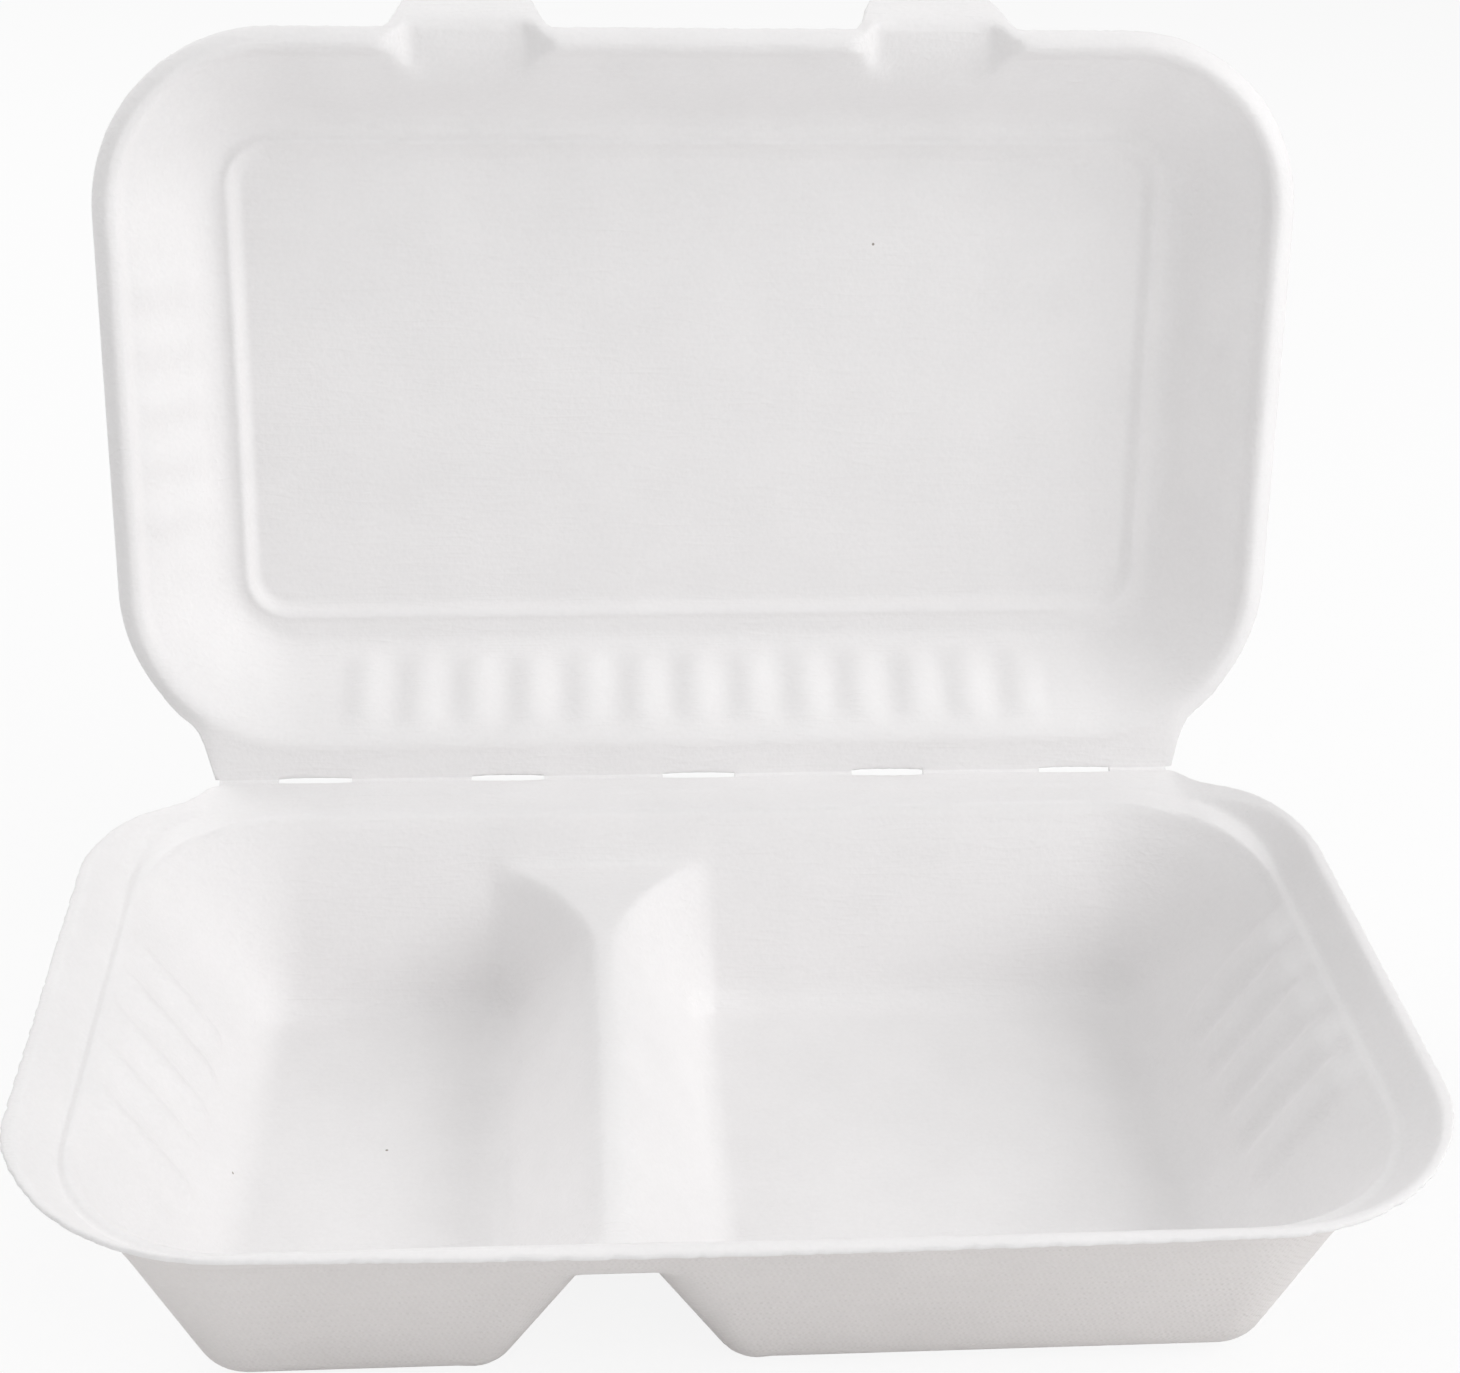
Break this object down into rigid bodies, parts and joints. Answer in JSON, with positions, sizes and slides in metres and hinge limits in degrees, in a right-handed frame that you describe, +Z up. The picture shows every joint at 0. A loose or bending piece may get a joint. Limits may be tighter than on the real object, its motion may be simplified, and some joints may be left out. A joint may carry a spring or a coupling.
{
  "type": "hinged pulp lunch box",
  "caption": "Hinged food box pressed from off-white plant pulp: a ribbed tray with a small and a large compartment, and a ribbed lid with closing tabs, standing open.",
  "frame": {"origin": "on the table under the middle of the tray, midway between the front lip and the fold line", "axes": "+X along the fold line of the lid, +Y from the front lip towards the fold, +Z up"},
  "size_m": [0.25, 0.2024, 0.2003],
  "materials": {
    "pulp": "matte pressed plant fibre"
  },
  "bodies": {
    "tray": {"tray": "pulp"},
    "lid": {"lid": "pulp"}
  },
  "joints": [
    {"name": "lid_fold", "type": "hinge", "parent": "tray", "child": "lid", "pos_m": [0, 0.0803, 0.04115], "axis": [1, 0, 0], "range_deg": [-81.6, 98.4]}
  ]
}
